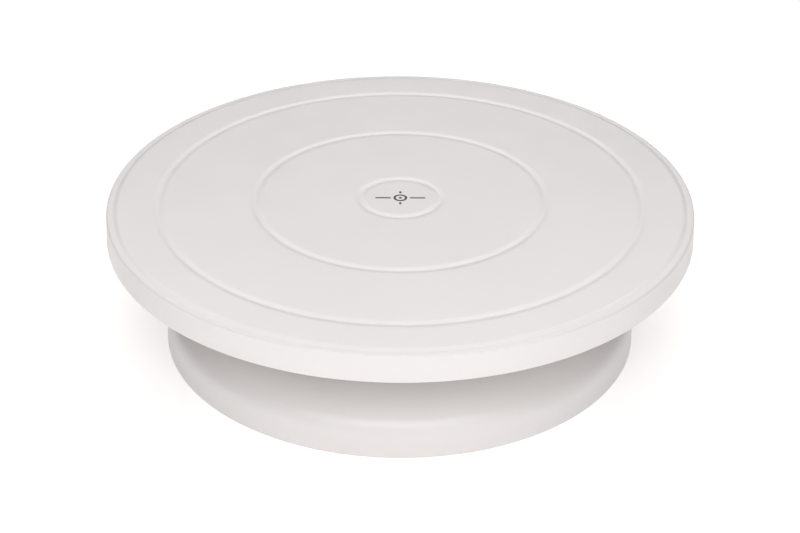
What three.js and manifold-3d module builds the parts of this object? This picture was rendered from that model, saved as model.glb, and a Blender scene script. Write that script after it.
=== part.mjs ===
// A cake turntable: a round moulded plate that spins on a ring of caged steel balls, over a bell-shaped
// moulded base on rubber feet. Millimetres, +Z up, origin on the table under the centre of the base.
import * as THREE from "three";
import { mergeVertices } from "three/addons/utils/BufferGeometryUtils.js";
import Module from "manifold-3d";

const wasm = await Module();
wasm.setup();

// Driving dimensions
const HEIGHT = 72; // table to cake surface
const WALL = 2.4; // thickness of both mouldings
const RIB_THICKNESS = 1.8;
const CLEARANCE = 0.3; // gap kept between pieces that touch or run together

// Facets
const ROUND_SIDES = 48; // large turned pieces
const SMALL_SIDES = 16; // small turned pieces
const ARC_STEPS = 3; // segments in a fillet, a groove or the shoulder
const FLARE_STEPS = 6; // segments up the base's flare
const BALL_SIDES = 10;
const BALL_BANDS = 6;

// Plate
const PLATE_RADIUS = 140; // at the open lower edge of the rim, the widest place
const BORDER_RADIUS = 139.3; // at the top of the rim's wall, less than below by the mould's draft
const BORDER_FILLET = 1;
const RIM_HEIGHT = 14;
const STEP_RADIUS = 135; // where the cake surface ends and the lower border begins
const STEP_RUN = 1.3;
const STEP_DROP = 0.9;
const GROOVE_RADII = [19, 69, 115];
const GROOVE_HALF_WIDTH = 3;
const GROOVE_DEPTH = 0.6;
const PLATE_RIB_COUNT = 12;
const PLATE_RIB_DEPTH = 4; // where a rib leaves the dust skirt
const PLATE_RIB_TIP = 3; // where it reaches the rim
const HOOP_RADIUS = 92; // circular rib half way out
const HOOP_DEPTH = 3;
const DUST_SKIRT_RADIUS = 56; // outside of the collar that shrouds the bearing
const DUST_SKIRT_BOTTOM = 60;

// Bearing
const BALL_COUNT = 16;
const BALL_RADIUS = 3;
const BALL_CIRCLE = 42; // radius of the circle of ball centres
const BALL_HEIGHT = 64.4; // of the ball centres
const RACE_GAP = 2; // from the ball centres to the flat land above or below them
const LAND_HALF_WIDTH = 6;
const CAGE_HALF_WIDTH = 5.2;
const CAGE_THICKNESS = 2.6;

// Spindle
const STEM_RADIUS = 7;
const STEM_BOTTOM = 39.6;
const TUBE_RADIUS = 10.5; // outside of the base's tube, in which the stem turns
const TUBE_BOTTOM = 40;
const WASHER_RADIUS = 12;
const WASHER_THICKNESS = 1.5;
const SCREW_RADIUS = 1.9;
const SCREW_LENGTH = 15;
const SCREW_HEAD_RADIUS = 4.2;
const SCREW_HEAD_HEIGHT = 2.7;
const SCREW_RECESS = [4.6, 0.9, 1.5]; // length, width and depth of each arm of the cross

// Base
const BASE_RADIUS = 114;
const BASE_LIFT = 0.9; // gap under the skirt, which the feet hold off the table
const SKIRT_TOP = 11;
const SHOULDER_RADIUS = 10;
const FLARE_ANGLE = THREE.MathUtils.degToRad(36); // slope of the flare where it leaves the shoulder
const NECK_RADIUS = 52;
const NECK_BOTTOM = 55; // where the flare has turned upright
const DECK_THICKNESS = 3.6;
const DECK_RIB_COUNT = 12;
const DECK_RIB_DEPTH = 8; // where a rib leaves the spindle tube
const DECK_RIB_TIP = 3; // where it reaches the neck

// Feet
const FOOT_COUNT = 6;
const FOOT_CIRCLE = 101; // radius of the circle of feet
const FOOT_RADIUS = 6.5;
const FOOT_HEIGHT = 2.2; // of the pad, without its plug
const FOOT_CHAMFER = 0.5;
const PLUG_RADIUS = 3.2;
const PLUG_TOP = 9;
const SOCKET_TOP = 12;

// Heights and radii that follow
const underside = HEIGHT - WALL;
const upperLand = BALL_HEIGHT + RACE_GAP;
const deckTop = BALL_HEIGHT - RACE_GAP;
const deckUnderside = deckTop - DECK_THICKNESS;
const socketRadius = PLUG_RADIUS + CLEARANCE;
const pilotRadius = SCREW_RADIUS + CLEARANCE;
const washerTop = STEM_BOTTOM - CLEARANCE;
const washerBottom = washerTop - WASHER_THICKNESS;
const screwSeat = washerBottom - CLEARANCE;

const look = (color, roughness, metalness = 0) => ({ color, roughness, metalness });
const WHITE_PLASTIC = look(0xecebe9, 0.3);
const NYLON = look(0xe6e0cf, 0.5);
const BALL_STEEL = look(0xc9ccd0, 0.08, 1);
const ZINC_STEEL = look(0xb9bcc0, 0.3, 1);
const RUBBER = look(0x7d7f82, 0.85);

const turntable = new THREE.Group();

const addMesh = (name, geometry, surface) => {
  const mesh = new THREE.Mesh(geometry, new THREE.MeshStandardMaterial(surface));
  mesh.name = name;
  turntable.add(mesh);
};

// Even angles around the vertical axis.
const anglesAround = (count) => Array.from({ length: count }, (_, i) => (2 * Math.PI * i) / count);

const twoDigits = (index) => String(index + 1).padStart(2, "0");

// Points of a circular arc in the (radius, height) plane, with both ends.
const arc = (r, z, radius, from, to) =>
  Array.from({ length: ARC_STEPS + 1 }, (_, i) => {
    const angle = from + ((to - from) * i) / ARC_STEPS;
    return [r + radius * Math.cos(angle), z + radius * Math.sin(angle)];
  });

// An arc-shaped trough in a level face, from its inner lip to its outer lip. side is 1 in a face that
// looks up and -1 in one that looks down.
const trough = (r, z, halfWidth, depth, side) => {
  const radius = (halfWidth ** 2 + depth ** 2) / (2 * depth);
  const halfAngle = Math.asin(halfWidth / radius);
  const bottom = (-side * Math.PI) / 2;
  const reach = side * halfAngle;
  return arc(r, z + side * (radius - depth), radius, bottom - reach, bottom + reach);
};

// The groove in which the balls run, in the land above them or below them.
const race = (z, side) => {
  const radius = BALL_RADIUS + CLEARANCE;
  return trough(BALL_CIRCLE, z, Math.sqrt(radius ** 2 - RACE_GAP ** 2), radius - RACE_GAP, side);
};

// A line of (radius, height) points moved to the left of the way it runs.
const offset = (points, distance) =>
  points.map(([r, z], i) => {
    const [r0, z0] = points[Math.max(i - 1, 0)];
    const [r1, z1] = points[Math.min(i + 1, points.length - 1)];
    const length = Math.hypot(r1 - r0, z1 - z0);
    return [r - ((z1 - z0) / length) * distance, z + ((r1 - r0) / length) * distance];
  });

// Turns an outline of (radius, height) points about +Z. One that doesn't end on the axis is closed.
function turned(outline, sides) {
  const points = outline.map(([r, z]) => new THREE.Vector2(r, z));
  if (points[0].x > 0) points.push(points[0].clone());
  if (THREE.ShapeUtils.area(points) < 0) points.reverse();
  return new THREE.LatheGeometry(points, sides).rotateX(Math.PI / 2);
}

// A radial rib: an outline of (radius, height) points with a thickness, turned to an angle about +Z.
function rib(outline, angle) {
  const shape = new THREE.Shape(outline.map(([r, z]) => new THREE.Vector2(r, z)));
  return new THREE.ExtrudeGeometry(shape, { depth: RIB_THICKNESS, bevelEnabled: false })
    .translate(0, 0, -RIB_THICKNESS / 2)
    .rotateX(Math.PI / 2)
    .rotateZ(angle);
}

// An upright cylinder between two heights, at a radius from the axis in the direction of an angle.
const post = (radius, bottom, top, distance, angle) =>
  new THREE.CylinderGeometry(radius, radius, top - bottom, SMALL_SIDES)
    .rotateX(Math.PI / 2)
    .translate(distance, 0, (bottom + top) / 2)
    .rotateZ(angle);

function solid(geometry) {
  const bare = geometry.clone();
  bare.deleteAttribute("normal");
  bare.deleteAttribute("uv");
  const merged = mergeVertices(bare, 1e-3);
  const vertProperties = new Float32Array(merged.attributes.position.array);
  const triVerts = new Uint32Array(merged.index.array);
  return new wasm.Manifold(new wasm.Mesh({ numProp: 3, vertProperties, triVerts }));
}

function geometryOf(shape) {
  const { vertProperties, triVerts } = shape.getMesh();
  return new THREE.BufferGeometry()
    .setAttribute("position", new THREE.BufferAttribute(vertProperties, 3))
    .setIndex(new THREE.BufferAttribute(triVerts, 1));
}

// The plate: skin, rim, dust skirt, upper land with its race, and spindle stem, all in one moulding.
function plateOutline() {
  const border = HEIGHT - STEP_DROP;
  const rimBottom = HEIGHT - RIM_HEIGHT;
  const hoop = HOOP_RADIUS + RIB_THICKNESS / 2;
  return [
    [0, HEIGHT],
    ...GROOVE_RADII.flatMap((r) => trough(r, HEIGHT, GROOVE_HALF_WIDTH, GROOVE_DEPTH, 1)),
    [STEP_RADIUS, HEIGHT],
    [STEP_RADIUS + STEP_RUN, border],
    ...arc(BORDER_RADIUS - BORDER_FILLET, border - BORDER_FILLET, BORDER_FILLET, Math.PI / 2, 0),
    [PLATE_RADIUS, rimBottom],
    [PLATE_RADIUS - WALL, rimBottom],
    [BORDER_RADIUS - WALL, border - WALL],
    [STEP_RADIUS, border - WALL],
    [STEP_RADIUS - STEP_RUN, underside],
    [hoop, underside],
    [hoop, underside - HOOP_DEPTH],
    [hoop - RIB_THICKNESS, underside - HOOP_DEPTH],
    [hoop - RIB_THICKNESS, underside],
    [DUST_SKIRT_RADIUS, underside],
    [DUST_SKIRT_RADIUS, DUST_SKIRT_BOTTOM],
    [DUST_SKIRT_RADIUS - RIB_THICKNESS, DUST_SKIRT_BOTTOM],
    [DUST_SKIRT_RADIUS - RIB_THICKNESS, underside],
    [BALL_CIRCLE + LAND_HALF_WIDTH, underside],
    [BALL_CIRCLE + LAND_HALF_WIDTH, upperLand],
    ...race(upperLand, -1).reverse(),
    [BALL_CIRCLE - LAND_HALF_WIDTH, upperLand],
    [BALL_CIRCLE - LAND_HALF_WIDTH, underside],
    [STEM_RADIUS, underside],
    [STEM_RADIUS, STEM_BOTTOM],
    [pilotRadius, STEM_BOTTOM],
    [pilotRadius, STEM_BOTTOM + SCREW_LENGTH],
    [0, STEM_BOTTOM + SCREW_LENGTH],
  ];
}

function addPlate() {
  const inner = DUST_SKIRT_RADIUS - RIB_THICKNESS / 2;
  const outer = BORDER_RADIUS - WALL / 2;
  const root = underside + WALL / 2;
  const ribOutline = [
    [inner, underside - PLATE_RIB_DEPTH],
    [outer, underside - PLATE_RIB_TIP],
    [outer, root - STEP_DROP],
    [inner, root],
  ];
  let body = solid(turned(plateOutline(), ROUND_SIDES));
  for (const angle of anglesAround(PLATE_RIB_COUNT)) body = body.add(solid(rib(ribOutline, angle)));
  addMesh("turntable_plate", geometryOf(body), WHITE_PLASTIC);
}

// The outer face of the base, from the foot of its skirt up to the underside of its deck.
function baseFace() {
  const centre = BASE_RADIUS - SHOULDER_RADIUS;
  const shoulder = arc(centre, SKIRT_TOP, SHOULDER_RADIUS, 0, Math.PI / 2 - FLARE_ANGLE);
  const start = new THREE.Vector2(...shoulder.pop());
  const slope = new THREE.Vector2(-Math.cos(FLARE_ANGLE), Math.sin(FLARE_ANGLE));
  const reach = (start.x - NECK_RADIUS) / 2;
  const flare = new THREE.CubicBezierCurve(
    start,
    start.clone().addScaledVector(slope, reach),
    new THREE.Vector2(NECK_RADIUS, NECK_BOTTOM - reach / 2),
    new THREE.Vector2(NECK_RADIUS, NECK_BOTTOM),
  );
  return [
    [BASE_RADIUS, BASE_LIFT],
    ...shoulder,
    ...flare.getPoints(FLARE_STEPS).map((point) => point.toArray()),
    [NECK_RADIUS, deckUnderside],
  ];
}

// The base: skirt, shoulder, flare, neck, deck with the lower race, and spindle tube, in one moulding.
function baseOutline(face) {
  return [
    ...face,
    [NECK_RADIUS, deckTop],
    ...race(deckTop, 1).reverse(),
    [STEM_RADIUS + CLEARANCE, deckTop],
    [STEM_RADIUS + CLEARANCE, TUBE_BOTTOM],
    [TUBE_RADIUS, TUBE_BOTTOM],
    [TUBE_RADIUS, deckUnderside],
    ...offset(face, WALL).reverse(),
  ];
}

function addBase() {
  const face = baseFace();
  const inner = TUBE_RADIUS - RIB_THICKNESS / 2;
  const outer = NECK_RADIUS - WALL / 2;
  const root = deckUnderside + WALL / 2;
  const ribOutline = [
    [inner, deckUnderside - DECK_RIB_DEPTH],
    [outer, deckUnderside - DECK_RIB_TIP],
    [outer, root],
    [inner, root],
  ];
  const filledOutline = [[0, BASE_LIFT], ...offset(face, WALL / 2), [0, deckUnderside]];
  const filled = solid(turned(filledOutline, ROUND_SIDES));
  const bossBottom = FOOT_HEIGHT + CLEARANCE;
  let body = solid(turned(baseOutline(face), ROUND_SIDES));
  for (const angle of anglesAround(DECK_RIB_COUNT)) body = body.add(solid(rib(ribOutline, angle)));
  for (const angle of anglesAround(FOOT_COUNT)) {
    const boss = solid(post(FOOT_RADIUS, bossBottom, NECK_BOTTOM, FOOT_CIRCLE, angle));
    const socket = solid(post(socketRadius, 0, SOCKET_TOP, FOOT_CIRCLE, angle));
    body = body.add(boss.intersect(filled)).subtract(socket);
  }
  addMesh("base_housing", geometryOf(body), WHITE_PLASTIC);
}

// A flat nylon ring between the two lands, with a round pocket for each ball.
function addCage() {
  const bottom = BALL_HEIGHT - CAGE_THICKNESS / 2;
  const top = BALL_HEIGHT + CAGE_THICKNESS / 2;
  const outline = [
    [BALL_CIRCLE - CAGE_HALF_WIDTH, bottom],
    [BALL_CIRCLE + CAGE_HALF_WIDTH, bottom],
    [BALL_CIRCLE + CAGE_HALF_WIDTH, top],
    [BALL_CIRCLE - CAGE_HALF_WIDTH, top],
  ];
  let body = solid(turned(outline, ROUND_SIDES));
  for (const angle of anglesAround(BALL_COUNT)) {
    const pocket = post(BALL_RADIUS + CLEARANCE, bottom - 1, top + 1, BALL_CIRCLE, angle);
    body = body.subtract(solid(pocket));
  }
  addMesh("ball_cage", geometryOf(body), NYLON);
}

function addBalls() {
  anglesAround(BALL_COUNT).forEach((angle, i) => {
    const ball = new THREE.SphereGeometry(BALL_RADIUS, BALL_SIDES, BALL_BANDS)
      .rotateX(Math.PI / 2)
      .translate(BALL_CIRCLE, 0, BALL_HEIGHT)
      .rotateZ(angle);
    addMesh(`steel_ball_${twoDigits(i)}`, ball, BALL_STEEL);
  });
}

function addWasher() {
  const outline = [
    [pilotRadius, washerBottom],
    [WASHER_RADIUS, washerBottom],
    [WASHER_RADIUS, washerTop],
    [pilotRadius, washerTop],
  ];
  addMesh("retaining_washer", turned(outline, 2 * SMALL_SIDES), ZINC_STEEL);
}

// A pan-head screw, head down, with a cross recess.
function addScrew() {
  const headBottom = screwSeat - SCREW_HEAD_HEIGHT;
  const outline = [
    [0, headBottom],
    [SCREW_HEAD_RADIUS - SCREW_HEAD_HEIGHT / 2, headBottom],
    [SCREW_HEAD_RADIUS, screwSeat - SCREW_HEAD_HEIGHT / 2],
    [SCREW_HEAD_RADIUS, screwSeat],
    [SCREW_RADIUS, screwSeat],
    [SCREW_RADIUS, screwSeat + SCREW_LENGTH - SCREW_RADIUS],
    [0, screwSeat + SCREW_LENGTH],
  ];
  const [length, width, depth] = SCREW_RECESS;
  const arm = new THREE.BoxGeometry(length, width, 2 * depth).translate(0, 0, headBottom);
  const body = solid(turned(outline, SMALL_SIDES))
    .subtract(solid(arm))
    .subtract(solid(arm.clone().rotateZ(Math.PI / 2)));
  addMesh("retaining_screw", geometryOf(body), ZINC_STEEL);
}

// Push-in rubber feet: a round pad with a plug that goes up into a boss of the base.
function addFeet() {
  const outline = [
    [0, 0],
    [FOOT_RADIUS - FOOT_CHAMFER, 0],
    [FOOT_RADIUS, FOOT_CHAMFER],
    [FOOT_RADIUS, FOOT_HEIGHT],
    [PLUG_RADIUS, FOOT_HEIGHT],
    [PLUG_RADIUS, PLUG_TOP],
    [0, PLUG_TOP],
  ];
  anglesAround(FOOT_COUNT).forEach((angle, i) => {
    const foot = turned(outline, SMALL_SIDES).translate(FOOT_CIRCLE, 0, 0).rotateZ(angle);
    addMesh(`rubber_foot_${twoDigits(i)}`, foot, RUBBER);
  });
}

addPlate();
addBase();
addCage();
addBalls();
addWasher();
addScrew();
addFeet();

export default turntable;
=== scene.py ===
"""The looks of the cake turntable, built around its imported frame: smooth mouldings, bearing, fastener,
feet and a printed centring mark, with procedural materials, soft studio light and the camera."""

import math

import bmesh
import bpy
from mathutils import Matrix, Vector
from mathutils.geometry import interpolate_bezier


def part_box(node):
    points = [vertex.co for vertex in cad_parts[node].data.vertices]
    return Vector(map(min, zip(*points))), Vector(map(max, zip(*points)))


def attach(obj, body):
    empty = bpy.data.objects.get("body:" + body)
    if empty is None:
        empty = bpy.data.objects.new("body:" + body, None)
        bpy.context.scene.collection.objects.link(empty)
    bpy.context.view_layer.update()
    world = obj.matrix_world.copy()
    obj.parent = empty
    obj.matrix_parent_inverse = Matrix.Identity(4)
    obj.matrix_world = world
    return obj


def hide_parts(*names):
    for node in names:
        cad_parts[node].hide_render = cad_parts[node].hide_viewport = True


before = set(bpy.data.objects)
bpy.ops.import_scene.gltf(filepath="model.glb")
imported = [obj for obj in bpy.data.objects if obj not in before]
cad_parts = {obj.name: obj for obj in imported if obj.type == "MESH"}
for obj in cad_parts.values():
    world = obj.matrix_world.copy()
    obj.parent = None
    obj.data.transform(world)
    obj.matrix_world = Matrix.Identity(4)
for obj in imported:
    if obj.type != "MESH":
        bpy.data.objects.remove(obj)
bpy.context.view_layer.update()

# Outlines are drawn in millimetres, as (radius, height, fillet) corners. Meshes are in metres.
MM = 0.001

# Facets of turned pieces and of fillets
LARGE_SIDES = 256
SMALL_SIDES = 96
FILLET_STEPS = 5
GROOVE_STEPS = 10
SHOULDER_STEPS = 14
FLARE_STEPS = 40

# Wall of the two mouldings, and their ribs
WALL = 2.4
EDGE_FILLET = 0.5
INNER_FILLET = 1.0
RIB_THICKNESS = 1.8
RIB_EDGE = 0.4
RIB_DRAFT = 0.25  # how much thinner a rib is at its free edge than at its root
RIB_FILLET = 0.7
SUNK = 0.6  # how far a rib's root goes into the wall that it stands on
PAST = 1.0  # how far a cutting tool runs past the face that it cuts

# Plate
BORDER_INSET = 0.5  # the mould's draft between the rim's lower edge and its top
STEP_INSET = 5.7  # from the rim's lower edge in to the end of the cake surface
STEP_RUN = 2.0
STEP_DROP = 0.7
STEP_LIP = 4.0  # fillet at the top of the step
STEP_FOOT = 0.9  # fillet at its foot
BORDER_FILLET = 1.0
RIM_HEIGHT = 14.0
GROOVES = (19.0, 69.0, 115.0)
GROOVE_HALF_WIDTH = 3.3
GROOVE_DEPTH = 0.46
GROOVE_LIP = 8.0  # a soft lip and a tight bottom
PLATE_RIB_COUNT = 12
PLATE_RIB_DEPTH = 4.0
PLATE_RIB_TIP = 3.0
HOOP_RADIUS = 92.0
HOOP_DEPTH = 3.0
DUST_SKIRT_RADIUS = 56.0
DUST_SKIRT_BOTTOM = 60.0
PRINT_RADIUS = 13.0  # disc round the middle, sunk a hair for the printed mark
PRINT_DEPTH = 0.04
EJECTOR_CIRCLES = (75.0, 122.0)
EJECTOR_RADIUS = 3.5
EJECTOR_DEPTH = 0.12

# Bearing
RACE_GAP = 2.0
RACE_CLEARANCE = 0.3
RACE_LIP = 0.3
LAND_HALF_WIDTH = 6.0
POCKET_CHAMFER = 0.35

# Spindle
STEM_RADIUS = 7.0
STEM_CLEARANCE = 0.3
STEM_FILLET = 2.0
TUBE_RADIUS = 10.5
TUBE_BOTTOM = 40.0
PILOT_RADIUS = 2.2
PILOT_TOP = 54.6
SCREW_ROOT = 1.6
SCREW_CREST = 1.95
SCREW_PITCH = 1.4
THREAD_HALF_WIDTH = 1 / 3  # half of the thread's ridge, as a share of the pitch
THREAD_STEPS = 12  # rings of vertices along each pitch
SCREW_TIP = 2.4  # length of the point
SCREW_HEAD_HEIGHT = 2.7
SCREW_HEAD_FILLET = 1.62
RECESS_LENGTH = 4.6
RECESS_WIDTH = 0.9
RECESS_DEPTH = 1.5
RECESS_TAPER = (1.2, 0.7)  # its scale below the head, and at its end

# Base
SKIRT_TOP = 11.0
SKIRT_DRAFT = 0.5
SHOULDER_RADIUS = 10.0
FLARE_ANGLE = math.radians(36)
NECK_RADIUS = 52.0
NECK_BOTTOM = 55.0
DECK_THICKNESS = 3.6
DECK_RIB_COUNT = 12
DECK_RIB_DEPTH = 8.0
DECK_RIB_TIP = 3.0

# Feet
FOOT_HEIGHT = 2.2
SOCKET_CLEARANCE = 0.3
SOCKET_TOP = 12.0
PLUG_RADIUS = 3.2
BULB_START = 3.0  # below the plug's end
BULB_WIDEST = 2.0  # below the plug's end
GRIP_RADII = (2.0, 3.6, 5.2)  # rings in the foot's sole
GRIP_HALF_WIDTH = 0.45
GRIP_DEPTH = 0.3
GRIP_LIP = 0.1

# Printed centring mark: a dot and a ring with four ticks
MARK_THICKNESS = 0.03
MARK_DOT = 0.8
MARK_RING = (2.2, 3.3)  # inner and outer radius
MARK_LINE = 1.1
MARK_ACROSS = (4.6, 12.0)  # ticks along X
MARK_ALONG = (4.6, 6.6)  # ticks along Y


def box_mm(node):
    """Lowest and highest corner of a CAD node, in millimetres."""
    lo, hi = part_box(node)
    return lo / MM, hi / MM


# What the frame says
plate_lo, plate_hi = box_mm("turntable_plate")
base_lo, base_hi = box_mm("base_housing")
cage_lo, cage_hi = box_mm("ball_cage")
ball_lo, ball_hi = box_mm("steel_ball_01")
washer_lo, washer_hi = box_mm("retaining_washer")
screw_lo, screw_hi = box_mm("retaining_screw")
foot_lo, foot_hi = box_mm("rubber_foot_01")

PLATE_RADIUS = plate_hi.x
TOP = plate_hi.z
UNDERSIDE = TOP - WALL
BASE_RADIUS = base_hi.x
DECK_TOP = base_hi.z
DECK_UNDERSIDE = DECK_TOP - DECK_THICKNESS
BALL_RADIUS = (ball_hi.z - ball_lo.z) / 2
BALL_CIRCLE = (ball_lo.x + ball_hi.x) / 2
BALL_HEIGHT = (ball_lo.z + ball_hi.z) / 2
UPPER_LAND = BALL_HEIGHT + RACE_GAP
FOOT_CIRCLE = (foot_lo.x + foot_hi.x) / 2
FOOT_RADIUS = (foot_hi.x - foot_lo.x) / 2

balls = sorted(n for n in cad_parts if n.startswith("steel_ball_"))
feet = sorted(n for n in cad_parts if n.startswith("rubber_foot_"))


# Outlines


def arc(r, z, radius, start, turn, steps=FILLET_STEPS):
    """Points of an arc in the (radius, height) plane, from an angle through a turn, with both ends."""
    angles = [start + turn * i / steps for i in range(steps + 1)]
    return [(r + radius * math.cos(a), z + radius * math.sin(a)) for a in angles]


def rounded(corners, closed=False):
    """The points of an outline of (radius, height, fillet) corners, each fillet drawn as an arc."""
    points = []
    for i, (r, z, *fillet) in enumerate(corners):
        at_end = i in (0, len(corners) - 1) and not closed
        if at_end or not fillet:
            points.append((r, z))
            continue
        here = Vector((r, z))
        before = (Vector(corners[i - 1][:2]) - here).normalized()
        after = (Vector(corners[(i + 1) % len(corners)][:2]) - here).normalized()
        half = before.angle(after) / 2
        centre = here + (before + after).normalized() * (fillet[0] / math.sin(half))
        first = here + before * (fillet[0] / math.tan(half)) - centre
        last = here + after * (fillet[0] / math.tan(half)) - centre
        start = math.atan2(first.y, first.x)
        points += arc(centre.x, centre.y, fillet[0], start, -first.angle_signed(last))
    return points


def trough(r, z, half_width, depth, lip, side=1):
    """An arc-shaped groove with rounded lips, from its inner lip to its outer one. It is sunk into a level
    face that looks up, or down where side is -1."""
    span = (half_width**2 + depth**2) / (2 * depth)
    slope = math.asin(half_width / span)
    up = math.pi / 2
    points = arc(r - half_width, z - lip, lip, up, -slope)
    points += arc(r, z + span - lip - depth, span - lip, -up - slope, 2 * slope, GROOVE_STEPS)
    points += arc(r + half_width, z - lip, lip, up + slope, -slope)
    return points if side > 0 else [(pr, 2 * z - pz) for pr, pz in points]


def race(z, side):
    """The groove that the balls run in, in the land below them or above them."""
    radius = BALL_RADIUS + RACE_CLEARANCE
    half_width = math.sqrt(radius**2 - RACE_GAP**2)
    return trough(BALL_CIRCLE, z, half_width, radius - RACE_GAP, RACE_LIP, side)


def offset(points, distance):
    """A line of points moved to the left of the way it runs."""
    moved = []
    for i, (r, z) in enumerate(points):
        r0, z0 = points[max(i - 1, 0)]
        r1, z1 = points[min(i + 1, len(points) - 1)]
        length = math.hypot(r1 - r0, z1 - z0)
        moved.append((r - (z1 - z0) / length * distance, z + (r1 - r0) / length * distance))
    return moved


# Meshes


def add_object(name, mesh):
    """An object from a bmesh that is in millimetres."""
    bmesh.ops.remove_doubles(mesh, verts=mesh.verts, dist=1e-4)
    bmesh.ops.recalc_face_normals(mesh, faces=mesh.faces)
    bmesh.ops.scale(mesh, vec=(MM, MM, MM), verts=mesh.verts)
    data = bpy.data.meshes.new(name)
    mesh.to_mesh(data)
    mesh.free()
    piece = bpy.data.objects.new(name, data)
    bpy.context.scene.collection.objects.link(piece)
    return piece


def sew(mesh, rings, closed):
    """Faces between neighbouring rings of vertices. A ring of one vertex is a point on the axis."""
    pairs = list(zip(rings, rings[1:]))
    if closed:
        pairs.append((rings[-1], rings[0]))
    for low, high in pairs:
        for i in range(max(len(low), len(high))):
            corners = [low[i % len(low)], low[(i + 1) % len(low)]]
            corners += [high[(i + 1) % len(high)], high[i % len(high)]]
            distinct = list(dict.fromkeys(corners))
            if len(distinct) > 2:
                mesh.faces.new(distinct)


def turn_into(mesh, outline, sides, place=Matrix.Identity(4)):
    """Turns an outline about the Z axis into a closed surface. One that ends off the axis is closed."""
    rings = []
    for r, z in outline:
        count = sides if r > 1e-6 else 1
        angles = [2 * math.pi * i / count for i in range(count)]
        spots = [Vector((r * math.cos(a), r * math.sin(a), z)) for a in angles]
        rings.append([mesh.verts.new(place @ spot) for spot in spots])
    sew(mesh, rings, closed=outline[0][0] > 0)


def turned(name, outline, sides=LARGE_SIDES):
    mesh = bmesh.new()
    turn_into(mesh, outline, sides)
    return add_object(name, mesh)


def angles_around(count):
    return [2 * math.pi * i / count for i in range(count)]


def out_at(distance, angle, height=0):
    """The place at a distance from the axis in the direction of an angle, turned to face outward."""
    return Matrix.Rotation(angle, 4, "Z") @ Matrix.Translation((distance, 0, height))


def combine(piece, tool, operation):
    """Joins a tool to a piece, or cuts it away, and removes the tool."""
    modifier = piece.modifiers.new("combine", "BOOLEAN")
    modifier.object = tool
    modifier.operation = operation
    modifier.solver = "MANIFOLD"
    with bpy.context.temp_override(object=piece, active_object=piece):
        bpy.ops.object.modifier_apply(modifier=modifier.name)
    bpy.data.objects.remove(tool)


def smooth(piece, crease=math.radians(34)):
    """Smooth shading that keeps creases sharp and flat faces flat."""
    piece.data.polygons.foreach_set("use_smooth", [True] * len(piece.data.polygons))
    piece.data.set_sharp_from_angle(angle=crease)
    weighted = piece.modifiers.new("weighted normals", "WEIGHTED_NORMAL")
    weighted.keep_sharp = True


def finish_piece(piece, body, nodes, material):
    """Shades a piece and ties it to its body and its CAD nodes."""
    smooth(piece)
    piece.data.materials.clear()
    piece.data.materials.append(material)
    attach(piece, body)
    if nodes:
        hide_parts(*nodes)


# Ribs


def rib_section(height):
    """Half of a rib's section, as (sideways, down) points: flared root, drafted side, rounded free edge."""
    root, edge = RIB_THICKNESS / 2, RIB_THICKNESS / 2 - RIB_DRAFT
    corners = [
        (root + RIB_FILLET, -SUNK),
        *arc(root + RIB_FILLET, RIB_FILLET, RIB_FILLET, -math.pi / 2, -math.pi / 2),
        (edge, height, RIB_EDGE),
        (0, height),
    ]
    return rounded(corners)


def ribs(name, count, inner, outer, root_z, inner_depth, outer_depth):
    """Radial ribs under a level face, from an inner radius to an outer one, as one object."""
    mesh = bmesh.new()
    for angle in angles_around(count):
        rings = []
        for r, depth in ((inner, inner_depth), (outer, outer_depth)):
            half = rib_section(depth)
            whole = half + [(-u, w) for u, w in reversed(half[:-1])]
            turn = Matrix.Rotation(angle, 4, "Z")
            rings.append([mesh.verts.new(turn @ Vector((r, u, root_z - w))) for u, w in whole])
        sew(mesh, rings, closed=False)
        mesh.faces.new(rings[0])
        mesh.faces.new(rings[1])
    return add_object(name, mesh)


# Materials

NOISE_RANGE = (0.35, 0.65)  # what a noise texture mostly stays between
SHADE_DETAIL = 4
BUMP_DETAIL = 2


def noise(tree, scale, detail):
    """Noise over the piece's own coordinates, stretched to run from 0 to 1."""
    place = tree.nodes.new("ShaderNodeTexCoord")
    texture = tree.nodes.new("ShaderNodeTexNoise")
    texture.inputs["Scale"].default_value = scale
    texture.inputs["Detail"].default_value = detail
    tree.links.new(place.outputs["Object"], texture.inputs["Vector"])
    stretch = tree.nodes.new("ShaderNodeMapRange")
    stretch.inputs["From Min"].default_value, stretch.inputs["From Max"].default_value = NOISE_RANGE
    tree.links.new(texture.outputs["Fac"], stretch.inputs["Value"])
    return stretch


def material(name, colors, color_scale, roughness, roughness_scale, bumps, **even):
    """A Principled material. Noise moves its colour and its roughness between two values each. Bumps are
    (scale, height in metres) pairs, coarse to fine. The other sockets are even all over, set by name."""
    made = bpy.data.materials.new(name)
    made.use_nodes = True
    tree = made.node_tree
    shader = tree.nodes["Principled BSDF"]
    for socket, value in even.items():
        shader.inputs[socket.replace("_", " ")].default_value = value

    mix = tree.nodes.new("ShaderNodeMix")
    mix.data_type = "RGBA"
    mix.inputs["A"].default_value = (*colors[0], 1)
    mix.inputs["B"].default_value = (*colors[1], 1)
    tree.links.new(noise(tree, color_scale, SHADE_DETAIL).outputs["Result"], mix.inputs["Factor"])
    tree.links.new(mix.outputs["Result"], shader.inputs["Base Color"])

    gloss = noise(tree, roughness_scale, SHADE_DETAIL)
    gloss.inputs["To Min"].default_value, gloss.inputs["To Max"].default_value = roughness
    tree.links.new(gloss.outputs["Result"], shader.inputs["Roughness"])

    normal = shader.inputs["Normal"]
    for scale, height in reversed(bumps):
        bump = tree.nodes.new("ShaderNodeBump")
        bump.inputs["Distance"].default_value = height
        tree.links.new(noise(tree, scale, BUMP_DETAIL).outputs["Result"], bump.inputs["Height"])
        tree.links.new(bump.outputs["Normal"], normal)
        normal = bump.inputs["Normal"]
    return made


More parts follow.
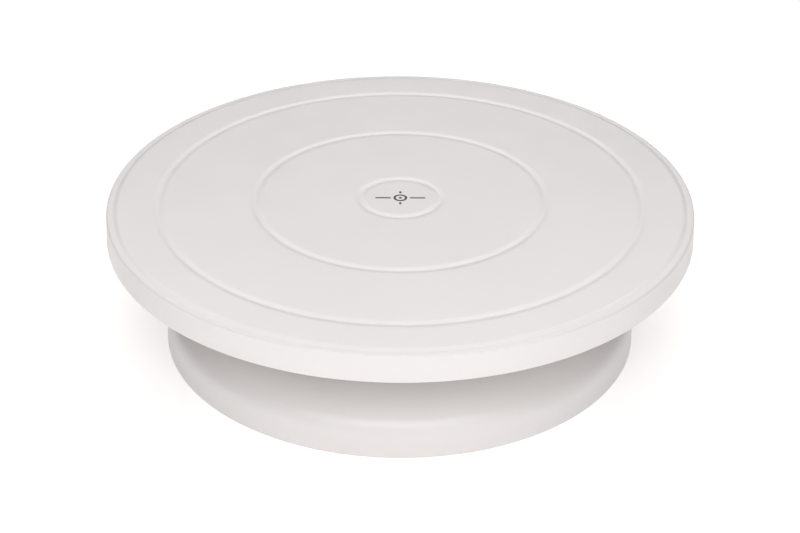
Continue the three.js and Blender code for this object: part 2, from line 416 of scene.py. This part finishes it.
# Glossy moulding: faint flow shades, uneven gloss and a very fine orange peel
WHITE_PLASTIC = material(
    "glossy white plastic",
    colors=((0.783, 0.756, 0.748), (0.801, 0.774, 0.766)),
    color_scale=11,
    roughness=(0.32, 0.42),
    roughness_scale=55,
    bumps=((420, 6e-6), (2600, 1.5e-6)),
    IOR=1.49,
)

# Natural nylon: cream, dull and a little cloudy
NYLON = material(
    "cream nylon",
    colors=((0.70, 0.66, 0.55), (0.76, 0.72, 0.62)),
    color_scale=60,
    roughness=(0.42, 0.56),
    roughness_scale=300,
    bumps=((1500, 8e-6),),
    IOR=1.53,
)

# Polished bearing steel with a film of oil in places, and hair scratches
BALL_STEEL = material(
    "polished steel",
    colors=((0.60, 0.61, 0.63), (0.66, 0.67, 0.68)),
    color_scale=250,
    roughness=(0.06, 0.14),
    roughness_scale=600,
    bumps=((4000, 6e-7),),
    Metallic=1,
)

# Bright zinc plate: mottled grey-blue, softly shiny, with fine press marks
ZINC_STEEL = material(
    "zinc-plated steel",
    colors=((0.50, 0.52, 0.55), (0.62, 0.63, 0.64)),
    color_scale=700,
    roughness=(0.24, 0.42),
    roughness_scale=1100,
    bumps=((2200, 4e-6),),
    Metallic=1,
)

# Soft rubber: dusty, dull, with a moulded grain
RUBBER = material(
    "grey rubber",
    colors=((0.17, 0.172, 0.176), (0.23, 0.232, 0.236)),
    color_scale=320,
    roughness=(0.62, 0.8),
    roughness_scale=900,
    bumps=((3500, 1.2e-5),),
    IOR=1.52,
)

# Pad-printed ink: slightly uneven and satin
INK = material(
    "dark ink",
    colors=((0.035, 0.035, 0.038), (0.055, 0.055, 0.058)),
    color_scale=900,
    roughness=(0.4, 0.5),
    roughness_scale=1800,
    bumps=((5000, 2e-6),),
    IOR=1.5,
)

# Matt sweep, a warm white with a breath of paper grain
FLOOR_WHITE = material(
    "floor",
    colors=((0.94, 0.92, 0.91), (0.95, 0.93, 0.92)),
    color_scale=40,
    roughness=(0.85, 0.95),
    roughness_scale=90,
    bumps=((1200, 2e-5),),
    Specular_IOR_Level=0.1,
    Emission_Color=(1, 1, 1, 1),
)


def glow_outward(floor):
    """Makes a floor's glow rise with distance, so that it stays pale where the soft boxes don't reach."""
    tree = floor.node_tree
    place = tree.nodes.new("ShaderNodeTexCoord")
    distance = tree.nodes.new("ShaderNodeVectorMath")
    distance.operation = "LENGTH"
    rise = tree.nodes.new("ShaderNodeMapRange")
    rise.interpolation_type = "SMOOTHSTEP"
    rise.inputs["From Min"].default_value, rise.inputs["From Max"].default_value = GLOW_REACH
    rise.inputs["To Min"].default_value = FLOOR_GLOW
    rise.inputs["To Max"].default_value = BACKDROP_GLOW
    tree.links.new(place.outputs["Object"], distance.inputs[0])
    tree.links.new(distance.outputs["Value"], rise.inputs["Value"])
    tree.links.new(rise.outputs["Result"], tree.nodes["Principled BSDF"].inputs["Emission Strength"])


def clear_from_below(floor):
    """Makes a floor's material clear from its back, so that the turntable's underside can be looked at."""
    tree = floor.node_tree
    side = tree.nodes.new("ShaderNodeNewGeometry")
    clear = tree.nodes.new("ShaderNodeBsdfTransparent")
    choice = tree.nodes.new("ShaderNodeMixShader")
    tree.links.new(side.outputs["Backfacing"], choice.inputs["Fac"])
    tree.links.new(tree.nodes["Principled BSDF"].outputs["BSDF"], choice.inputs[1])
    tree.links.new(clear.outputs["BSDF"], choice.inputs[2])
    tree.links.new(choice.outputs["Shader"], tree.nodes["Material Output"].inputs["Surface"])


# Plate


def plate_outline():
    """The plate's section, without its radial ribs: top face outward, then back in along the underside."""
    rim_bottom = TOP - RIM_HEIGHT
    border = TOP - STEP_DROP
    step = PLATE_RADIUS - STEP_INSET
    wall_top = PLATE_RADIUS - BORDER_INSET
    hoop_in = HOOP_RADIUS - RIB_THICKNESS / 2
    hoop_out = HOOP_RADIUS + RIB_THICKNESS / 2
    hoop_bottom = UNDERSIDE - HOOP_DEPTH
    skirt_in = DUST_SKIRT_RADIUS - RIB_THICKNESS
    land_in = BALL_CIRCLE - LAND_HALF_WIDTH
    land_out = BALL_CIRCLE + LAND_HALF_WIDTH
    grooves = [p for r in GROOVES for p in trough(r, TOP, GROOVE_HALF_WIDTH, GROOVE_DEPTH, GROOVE_LIP)]
    return rounded(
        [
            (0, TOP - PRINT_DEPTH),
            (PRINT_RADIUS, TOP - PRINT_DEPTH),
            (PRINT_RADIUS + PRINT_DEPTH, TOP),
            *grooves,
            (step, TOP, STEP_LIP),
            (step + STEP_RUN, border, STEP_FOOT),
            (wall_top, border, BORDER_FILLET),
            (PLATE_RADIUS, rim_bottom, EDGE_FILLET),
            (PLATE_RADIUS - WALL, rim_bottom, EDGE_FILLET),
            (wall_top - WALL, border - WALL, INNER_FILLET),
            (step, border - WALL, EDGE_FILLET),
            (step - STEP_RUN, UNDERSIDE, EDGE_FILLET),
            (hoop_out, UNDERSIDE, RIB_FILLET),
            (hoop_out - RIB_DRAFT, hoop_bottom, RIB_EDGE),
            (hoop_in + RIB_DRAFT, hoop_bottom, RIB_EDGE),
            (hoop_in, UNDERSIDE, RIB_FILLET),
            (DUST_SKIRT_RADIUS, UNDERSIDE, INNER_FILLET),
            (DUST_SKIRT_RADIUS - RIB_DRAFT, DUST_SKIRT_BOTTOM, RIB_EDGE),
            (skirt_in, DUST_SKIRT_BOTTOM, RIB_EDGE),
            (skirt_in, UNDERSIDE, INNER_FILLET),
            (land_out, UNDERSIDE, INNER_FILLET),
            (land_out, UPPER_LAND, RIB_EDGE),
            *reversed(race(UPPER_LAND, -1)),
            (land_in, UPPER_LAND, RIB_EDGE),
            (land_in, UNDERSIDE, INNER_FILLET),
            (STEM_RADIUS, UNDERSIDE, STEM_FILLET),
            (STEM_RADIUS, plate_lo.z, EDGE_FILLET),
            (PILOT_RADIUS, plate_lo.z, RIB_EDGE),
            (PILOT_RADIUS, PILOT_TOP),
            (0, PILOT_TOP),
        ]
    )


def ejector_marks():
    """Thin discs that dent the plate's underside where the mould's ejector pins push it out."""
    mesh = bmesh.new()
    for i, angle in enumerate(angles_around(PLATE_RIB_COUNT)):
        between = angle + math.pi / PLATE_RIB_COUNT
        place = out_at(EJECTOR_CIRCLES[i % 2], between, UNDERSIDE)
        disc = [(0, -PAST), (EJECTOR_RADIUS, -PAST), (EJECTOR_RADIUS, EJECTOR_DEPTH), (0, EJECTOR_DEPTH)]
        turn_into(mesh, disc, SMALL_SIDES // 3, place)
    return add_object("ejectors", mesh)


def make_plate():
    plate = turned("plate_moulding", plate_outline())
    inner = DUST_SKIRT_RADIUS - RIB_THICKNESS / 2
    outer = PLATE_RADIUS - BORDER_INSET - WALL / 2
    radial = ribs("radial_ribs", PLATE_RIB_COUNT, inner, outer, UNDERSIDE, PLATE_RIB_DEPTH, PLATE_RIB_TIP)
    combine(plate, radial, "UNION")
    combine(plate, ejector_marks(), "DIFFERENCE")
    finish_piece(plate, "turntable", ["turntable_plate"], WHITE_PLASTIC)


# Base


def base_face():
    """The outside of the base, from the foot of its skirt up to its deck."""
    centre = BASE_RADIUS - SKIRT_DRAFT - SHOULDER_RADIUS
    shoulder = arc(centre, SKIRT_TOP, SHOULDER_RADIUS, 0, math.pi / 2 - FLARE_ANGLE, SHOULDER_STEPS)
    start = Vector(shoulder[-1])
    reach = (start.x - NECK_RADIUS) / 2
    near = start + Vector((-math.cos(FLARE_ANGLE), math.sin(FLARE_ANGLE))) * reach
    far = Vector((NECK_RADIUS, NECK_BOTTOM - reach / 2))
    end = Vector((NECK_RADIUS, NECK_BOTTOM))
    flare = interpolate_bezier(start, near, far, end, FLARE_STEPS)
    return shoulder + [tuple(p) for p in flare[1:]]


def base_outline():
    face = base_face()
    inside = offset(face, WALL)
    bore = STEM_RADIUS + STEM_CLEARANCE
    return rounded(
        [
            (BASE_RADIUS, base_lo.z, EDGE_FILLET / 2),
            *face,
            (NECK_RADIUS, DECK_TOP, EDGE_FILLET),
            *reversed(race(DECK_TOP, 1)),
            (bore, DECK_TOP, EDGE_FILLET),
            (bore, TUBE_BOTTOM, RIB_EDGE),
            (TUBE_RADIUS, TUBE_BOTTOM, EDGE_FILLET),
            (TUBE_RADIUS, DECK_UNDERSIDE, STEM_FILLET),
            (inside[-1][0], DECK_UNDERSIDE, STEM_FILLET),
            *reversed(inside),
            (BASE_RADIUS - WALL, base_lo.z, EDGE_FILLET),
        ],
        closed=True,
    )


def mid_wall_height(r):
    """Height of the middle of the base's wall at a radius."""
    line = offset(base_face(), WALL / 2)
    for (r0, z0), (r1, z1) in zip(line, line[1:]):
        if r1 <= r <= r0:
            return z0 + (z1 - z0) * (r0 - r) / (r0 - r1)
    return line[0][1]


def foot_bosses():
    """Posts that hang from the base's wall, one over each foot. Their tops lie inside the wall."""
    mesh = bmesh.new()
    bottom = FOOT_HEIGHT + SOCKET_CLEARANCE
    for angle in angles_around(len(feet)):
        place = out_at(FOOT_CIRCLE, angle)
        full = arc(0, 0, FOOT_RADIUS, 0, 2 * math.pi, SMALL_SIDES)[:-1]
        chamfered = arc(0, 0, FOOT_RADIUS - RIB_EDGE, 0, 2 * math.pi, SMALL_SIDES)[:-1]
        rings = [[mesh.verts.new(place @ Vector((0, 0, bottom)))]]
        rings.append([mesh.verts.new(place @ Vector((x, y, bottom))) for x, y in chamfered])
        rings.append([mesh.verts.new(place @ Vector((x, y, bottom + RIB_EDGE))) for x, y in full])
        tops = [place @ Vector((x, y, 0)) for x, y in full]
        for spot in tops:
            spot.z = mid_wall_height(spot.xy.length)
        rings.append([mesh.verts.new(spot) for spot in tops])
        rings.append([mesh.verts.new(place @ Vector((0, 0, mid_wall_height(FOOT_CIRCLE))))])
        sew(mesh, rings, closed=False)
    return add_object("foot_bosses", mesh)


def foot_sockets():
    """Blind bores, with a lead-in chamfer, that the feet's plugs go up into."""
    mesh = bmesh.new()
    radius = PLUG_RADIUS + SOCKET_CLEARANCE
    mouth = FOOT_HEIGHT + SOCKET_CLEARANCE
    bore = [
        (0, mouth - PAST),
        (radius + RIB_EDGE + PAST, mouth - PAST),
        (radius, mouth + RIB_EDGE),
        (radius, SOCKET_TOP),
        (0, SOCKET_TOP),
    ]
    for angle in angles_around(len(feet)):
        turn_into(mesh, bore, SMALL_SIDES // 2, out_at(FOOT_CIRCLE, angle))
    return add_object("foot_sockets", mesh)


def make_base():
    base = turned("base_moulding", base_outline())
    inner = TUBE_RADIUS - RIB_THICKNESS / 2
    outer = NECK_RADIUS - WALL / 2
    deck = ribs("deck_ribs", DECK_RIB_COUNT, inner, outer, DECK_UNDERSIDE, DECK_RIB_DEPTH, DECK_RIB_TIP)
    combine(base, deck, "UNION")
    combine(base, foot_bosses(), "UNION")
    combine(base, foot_sockets(), "DIFFERENCE")
    finish_piece(base, "base", ["base_housing"], WHITE_PLASTIC)


# Bearing


def make_cage():
    """A flat ring with a chamfered pocket for each ball."""
    half_width = cage_hi.x - BALL_CIRCLE
    half_height = (cage_hi.z - cage_lo.z) / 2
    corners = [
        (BALL_CIRCLE + side * half_width, BALL_HEIGHT + level * half_height, EDGE_FILLET)
        for side, level in ((-1, -1), (1, -1), (1, 1), (-1, 1))
    ]
    cage = turned("cage_moulding", rounded(corners, closed=True))
    radius = BALL_RADIUS + RACE_CLEARANCE
    wide = radius + POCKET_CHAMFER + PAST
    pocket = [
        (0, -half_height - PAST),
        (wide, -half_height - PAST),
        (radius, POCKET_CHAMFER - half_height),
        (radius, half_height - POCKET_CHAMFER),
        (wide, half_height + PAST),
        (0, half_height + PAST),
    ]
    pockets = bmesh.new()
    for angle in angles_around(len(balls)):
        turn_into(pockets, pocket, SMALL_SIDES, out_at(BALL_CIRCLE, angle, BALL_HEIGHT))
    combine(cage, add_object("pockets", pockets), "DIFFERENCE")
    finish_piece(cage, "cage", ["ball_cage"], NYLON)


def make_balls():
    half_circle = arc(0, 0, BALL_RADIUS, -math.pi / 2, math.pi, SMALL_SIDES // 4)
    for i, (node, angle) in enumerate(zip(balls, angles_around(len(balls)))):
        mesh = bmesh.new()
        turn_into(mesh, half_circle, SMALL_SIDES // 2, out_at(BALL_CIRCLE, angle, BALL_HEIGHT))
        ball = add_object(f"polished_ball_{i + 1:02d}", mesh)
        finish_piece(ball, f"ball_{i + 1:02d}", [node], BALL_STEEL)


# Fastener


def make_washer():
    """Punched from plate: a rolled edge on the lower face and a sharper one on the upper face."""
    corners = [
        (PILOT_RADIUS, washer_lo.z, EDGE_FILLET),
        (washer_hi.x, washer_lo.z, EDGE_FILLET),
        (washer_hi.x, washer_hi.z, EDGE_FILLET / 3),
        (PILOT_RADIUS, washer_hi.z, EDGE_FILLET / 3),
    ]
    washer = turned("washer_pressing", rounded(corners, closed=True), SMALL_SIDES)
    finish_piece(washer, "turntable", ["retaining_washer"], ZINC_STEEL)


def thread_radius(height, angle, seat):
    """Radius of the screw's thread, which fades out at the point."""
    turns = (height - seat) / SCREW_PITCH - angle / (2 * math.pi)
    crest = max(0, 1 - abs(turns - round(turns)) / THREAD_HALF_WIDTH)
    to_tip = (screw_hi.z - height) / SCREW_TIP
    return (SCREW_ROOT + (SCREW_CREST - SCREW_ROOT) * crest) * min(1, math.sqrt(max(to_tip, 0)))


def cross_recess():
    """A cross-shaped plug that tapers upward into the screw's head."""
    mesh = bmesh.new()
    rings = []
    for depth, scale in zip((-PAST, RECESS_DEPTH), RECESS_TAPER):
        arm, half = RECESS_LENGTH / 2 * scale, RECESS_WIDTH / 2 * scale
        corner = [(arm, -half), (arm, half), (half, half)]
        spots = [Matrix.Rotation(a, 2) @ Vector(c) for a in angles_around(4) for c in corner]
        rings.append([mesh.verts.new((*spot, screw_lo.z + depth)) for spot in spots])
    sew(mesh, rings, closed=False)
    mesh.faces.new(rings[0])
    mesh.faces.new(rings[1])
    return add_object("recess", mesh)


def make_screw():
    """A pan-head screw, head down, with a threaded shank and a tapered cross recess."""
    seat = screw_lo.z + SCREW_HEAD_HEIGHT
    head_radius = screw_hi.x
    head = rounded(
        [
            (0, screw_lo.z),
            (head_radius, screw_lo.z, SCREW_HEAD_FILLET),
            (head_radius, seat, EDGE_FILLET / 3),
            (SCREW_ROOT, seat, EDGE_FILLET / 3),
            (SCREW_ROOT, seat + EDGE_FILLET),
        ]
    )
    mesh = bmesh.new()
    angles = angles_around(SMALL_SIDES // 2)
    rings = [[mesh.verts.new((0, 0, screw_lo.z))]]
    for r, z in head[1:]:
        rings.append([mesh.verts.new((r * math.cos(a), r * math.sin(a), z)) for a in angles])
    start = seat + EDGE_FILLET
    steps = round((screw_hi.z - start) / SCREW_PITCH * THREAD_STEPS)
    for i in range(1, steps):
        z = start + (screw_hi.z - start) * i / steps
        radii = [thread_radius(z, a, seat) for a in angles]
        rings.append([mesh.verts.new((r * math.cos(a), r * math.sin(a), z)) for r, a in zip(radii, angles)])
    rings.append([mesh.verts.new((0, 0, screw_hi.z))])
    sew(mesh, rings, closed=False)
    screw = add_object("threaded_screw", mesh)
    combine(screw, cross_recess(), "DIFFERENCE")
    finish_piece(screw, "turntable", ["retaining_screw"], ZINC_STEEL)


# Feet


def make_feet():
    """Push-in feet: a pad with grip rings in its sole, and a plug with a bulb that holds in its socket."""
    grips = [p for r in GRIP_RADII for p in trough(r, 0, GRIP_HALF_WIDTH, GRIP_DEPTH, GRIP_LIP, -1)]
    bulb = PLUG_RADIUS - RIB_EDGE
    outline = rounded(
        [
            (0, 0),
            *grips,
            (FOOT_RADIUS, 0, EDGE_FILLET),
            (FOOT_RADIUS, FOOT_HEIGHT, EDGE_FILLET),
            (bulb, FOOT_HEIGHT, RIB_EDGE),
            (bulb, foot_hi.z - BULB_START, EDGE_FILLET),
            (PLUG_RADIUS, foot_hi.z - BULB_WIDEST, EDGE_FILLET),
            (bulb, foot_hi.z, EDGE_FILLET),
            (0, foot_hi.z),
        ]
    )
    for i, (node, angle) in enumerate(zip(feet, angles_around(len(feet)))):
        mesh = bmesh.new()
        turn_into(mesh, outline, SMALL_SIDES // 2, out_at(FOOT_CIRCLE, angle))
        foot = add_object(f"grip_foot_{i + 1:02d}", mesh)
        finish_piece(foot, "base", [node], RUBBER)


# Printed mark


def slab(mesh, outline):
    """A closed plate of ink over an outline of (x, y) points, in the disc that is sunk for it."""
    bottom = TOP - PRINT_DEPTH
    levels = (bottom, bottom + MARK_THICKNESS)
    rings = [[mesh.verts.new((x, y, z)) for x, y in outline] for z in levels]
    sew(mesh, rings, closed=False)
    mesh.faces.new(rings[0])
    mesh.faces.new(rings[1])


def tick(mesh, start, end, angle):
    """A straight tick that points away from the middle, with a rounded outer end."""
    half = MARK_LINE / 2
    points = [(start, -half), *arc(end - half, 0, half, -math.pi / 2, math.pi), (start, half)]
    turn = Matrix.Rotation(angle, 2)
    slab(mesh, [turn @ Vector(p) for p in points])


def make_mark():
    """A plain target that shows the middle of the cake surface."""
    mesh = bmesh.new()
    bottom = TOP - PRINT_DEPTH
    top = bottom + MARK_THICKNESS
    inner, outer = MARK_RING
    turn_into(mesh, [(inner, bottom), (outer, bottom), (outer, top), (inner, top)], SMALL_SIDES)
    slab(mesh, arc(0, 0, MARK_DOT, 0, 2 * math.pi, SMALL_SIDES // 2)[:-1])
    for angle, (start, end) in zip(angles_around(4), (MARK_ACROSS, MARK_ALONG) * 2):
        tick(mesh, start, end, angle)
    mark = add_object("centre_mark", mesh)
    finish_piece(mark, "turntable", [], INK)


make_plate()
make_base()
make_cage()
make_balls()
make_washer()
make_screw()
make_feet()
make_mark()


# Setting

FLOOR_HALF_SIZE = 20.0
FLOOR_GLOW = 0.37  # the floor's own light near the turntable
WORLD_GLOW = 0.04
BACKDROP_GLOW = 0.75  # of the far floor and of the world as the camera sees it
GLOW_REACH = (0.6, 2.0)  # where the floor's glow starts to rise, and where it is even

# Soft boxes: name, width and depth, azimuth (0 is the front) and elevation in degrees, distance, power
SOFT_BOXES = (
    ("front", 1.3, 0.5, 0, 35, 1.1, 8.4),
    ("top", 1.2, 0.5, 0, 90, 0.9, 3.9),
    ("back", 1.4, 0.5, 180, 48, 1.2, 5.8),
)


def make_floor():
    mesh = bmesh.new()
    bmesh.ops.create_grid(mesh, x_segments=1, y_segments=1, size=FLOOR_HALF_SIZE / MM)
    floor = add_object("floor", mesh)
    floor.data.materials.append(FLOOR_WHITE)
    glow_outward(FLOOR_WHITE)
    clear_from_below(FLOOR_WHITE)


def soft_light(name, width, depth, azimuth, elevation, distance, watts):
    """A soft box that looks at the turntable from a direction. Azimuth 0 is the front."""
    data = bpy.data.lights.new(name, "AREA")
    data.shape = "RECTANGLE"
    data.size = width
    data.size_y = depth
    data.energy = watts
    light = bpy.data.objects.new(name, data)
    bpy.context.scene.collection.objects.link(light)
    a, e = math.radians(azimuth), math.radians(elevation)
    away = Vector((math.sin(a) * math.cos(e), -math.cos(a) * math.cos(e), math.sin(e)))
    light.location = Vector((0, 0, TOP * MM)) + away * distance
    light.rotation_euler = away.to_track_quat("Z", "Y").to_euler()


def make_world():
    """A world that gives little light of its own, and that the camera sees as a pale backdrop."""
    world = bpy.data.worlds.new("studio")
    world.use_nodes = True
    tree = world.node_tree
    background = tree.nodes["Background"]
    background.inputs["Color"].default_value = (1, 1, 1, 1)
    ray = tree.nodes.new("ShaderNodeLightPath")
    strength = tree.nodes.new("ShaderNodeMapRange")
    strength.inputs["To Min"].default_value = WORLD_GLOW
    strength.inputs["To Max"].default_value = BACKDROP_GLOW
    tree.links.new(ray.outputs["Is Camera Ray"], strength.inputs["Value"])
    tree.links.new(strength.outputs["Result"], background.inputs["Strength"])
    bpy.context.scene.world = world


make_floor()
make_world()
for box in SOFT_BOXES:
    soft_light(*box)
bpy.context.scene.view_settings.view_transform = "Standard"

# Camera: it looks down at the turntable from the front, with a trace of roll
CAMERA_PLACE = (0, -0.8897, TOP * MM + 0.477)
CAMERA_DOWN = 30.06
CAMERA_ROLL = 0.261
CAMERA_LENS = 95.13


def make_camera():
    camera = bpy.data.objects.new("camera", bpy.data.cameras.new("camera"))
    bpy.context.scene.collection.objects.link(camera)
    camera.data.lens = CAMERA_LENS
    tilt = Matrix.Rotation(math.radians(90 - CAMERA_DOWN), 4, "X")
    roll = Matrix.Rotation(math.radians(CAMERA_ROLL), 4, "Z")
    camera.matrix_world = Matrix.Translation(CAMERA_PLACE) @ tilt @ roll
    bpy.context.scene.camera = camera


make_camera()

bpy.context.view_layer.update()
